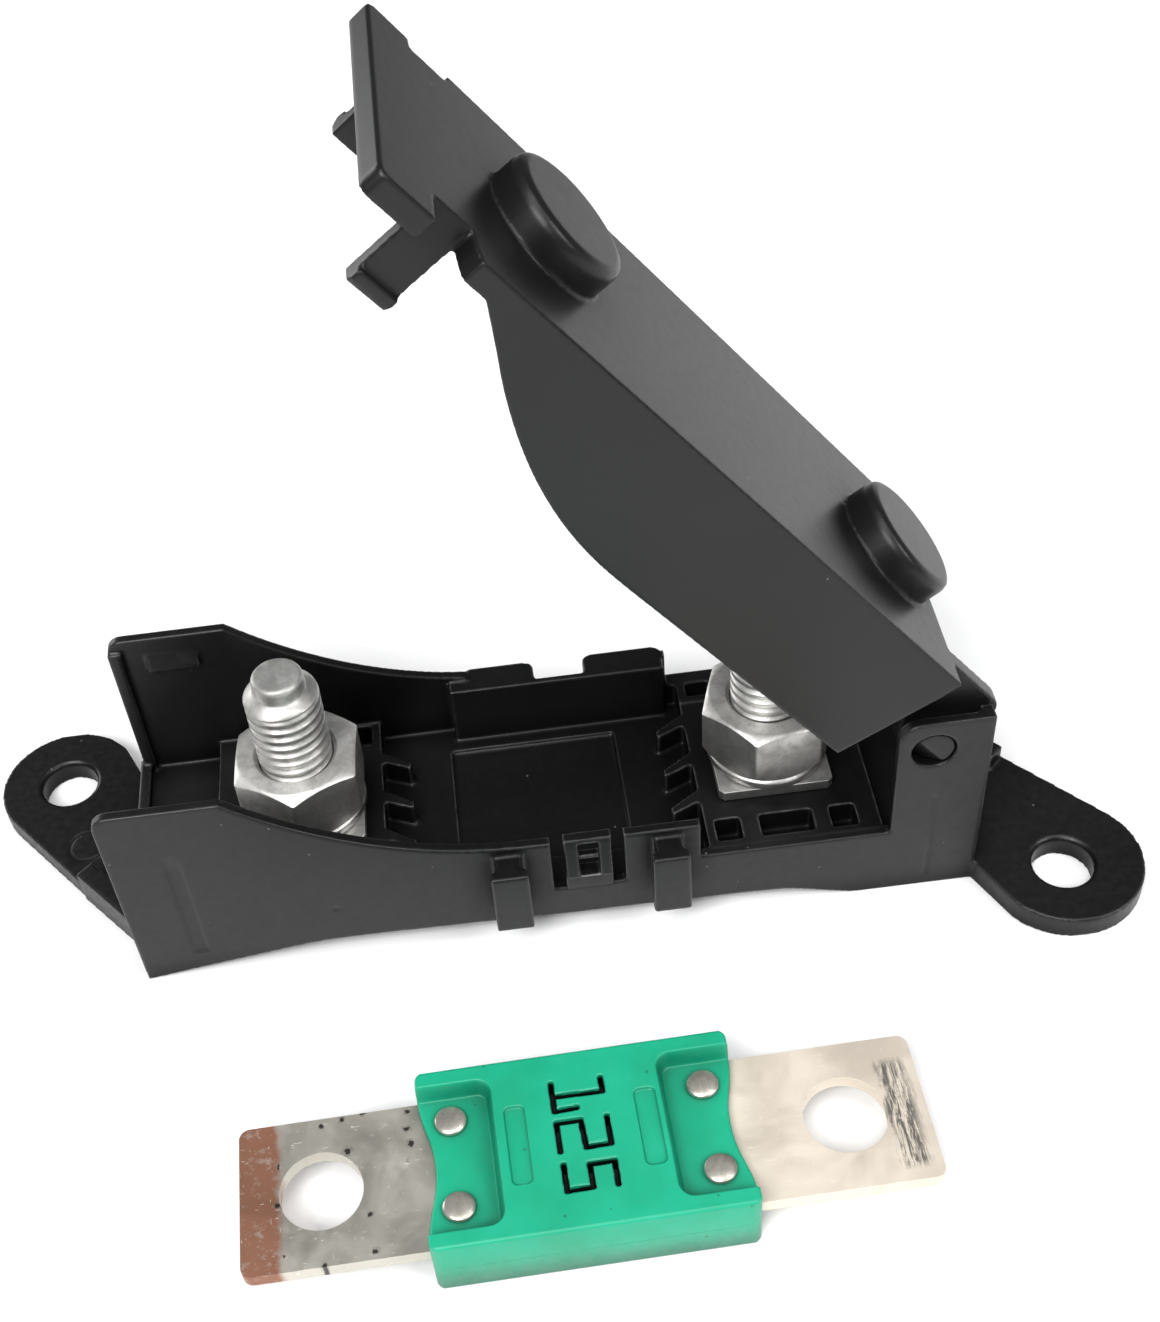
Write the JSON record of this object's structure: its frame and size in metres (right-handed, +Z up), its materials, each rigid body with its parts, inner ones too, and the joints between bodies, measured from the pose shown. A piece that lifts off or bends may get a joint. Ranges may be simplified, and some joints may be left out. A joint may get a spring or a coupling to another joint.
{
  "type": "strip fuse holder",
  "caption": "Bolt-down strip fuse holder: trough base with terminal studs and nuts, hinged cover with stud caps, diagonal screw ears, and the blade-ended fuse that bolts in.",
  "frame": {"origin": "midway between the terminal studs, on the plane the mounting ears stand on", "axes": "+X along the stud line towards the cover hinge, +Y towards the wall with the coupling sockets, +Z up the studs"},
  "size_m": [0.1273, 0.0762, 0.0937],
  "materials": {
    "base_plastic": "fine moulded grain, black glass-filled plastic",
    "cover_plastic": "smoother moulded black plastic",
    "stud_zinc": "zinc-plated rolled thread",
    "plate_zinc": "zinc-plated stamped plate",
    "washer_zinc": "zinc-plated washer",
    "nut_zinc": "zinc-plated hexagon nut",
    "fuse_tin": "worn tin plating over copper-coloured metal",
    "overlay_tin": "dull tin pellet on the fuse link",
    "fuse_green": "satin green moulded plastic",
    "rivet_tin": "set rivet heads"
  },
  "bodies": {
    "base": {"base_housing": "base_plastic", "left_stud_bolt": "stud_zinc", "right_stud_bolt": "stud_zinc", "left_contact_plate": "plate_zinc", "right_contact_plate": "plate_zinc"},
    "latch": {"front_latch_tongue": "base_plastic"},
    "cover": {"cover": "cover_plastic"},
    "left_washer": {"left_washer": "washer_zinc"},
    "left_nut": {"left_hex_nut": "nut_zinc"},
    "right_washer": {"right_washer": "washer_zinc"},
    "right_nut": {"right_hex_nut": "nut_zinc"},
    "fuse": {"fuse_element": "fuse_tin", "fuse_tin_overlay": "overlay_tin", "fuse_upper_housing": "fuse_green", "fuse_lower_housing": "fuse_green", "fuse_rivet_left_front": "rivet_tin", "fuse_rivet_left_back": "rivet_tin", "fuse_rivet_right_front": "rivet_tin", "fuse_rivet_right_back": "rivet_tin"}
  },
  "joints": [
    {"name": "cover_hinge", "type": "hinge", "parent": "base", "child": "cover", "pos_m": [0.04, 0, 0.0218], "axis": [0, 1, 0], "range_deg": [-52, 46]},
    {"name": "front_latch_flex", "type": "hinge", "parent": "base", "child": "latch", "pos_m": [0.00415, -0.0127, 0.007], "axis": [1, 0, 0], "range_deg": [-6, 2]},
    {"name": "left_nut_rise", "type": "slide", "parent": "base", "child": "left_washer", "axis": [0, 0, 1], "range_m": [0, 0.0188]},
    {"name": "left_nut_spin", "type": "hinge", "parent": "left_washer", "child": "left_nut", "pos_m": [-0.0255, 0, 0.016], "axis": [0, 0, 1], "range_deg": [0, 5400]},
    {"name": "right_nut_rise", "type": "slide", "parent": "base", "child": "right_washer", "axis": [0, 0, 1], "range_m": [0, 0.0188]},
    {"name": "right_nut_spin", "type": "hinge", "parent": "right_washer", "child": "right_nut", "pos_m": [0.0255, 0, 0.016], "axis": [0, 0, 1], "range_deg": [0, 5400]},
    {"name": "fuse_lift", "type": "slide", "parent": "base", "child": "fuse", "axis": [0, 0, 1], "range_m": [0, 0.06]}
  ],
  "couplings": [
    {"joint": "left_nut_rise", "follows": "left_nut_spin", "m_per_rad": 0.00019894},
    {"joint": "right_nut_rise", "follows": "right_nut_spin", "m_per_rad": 0.00019894}
  ]
}
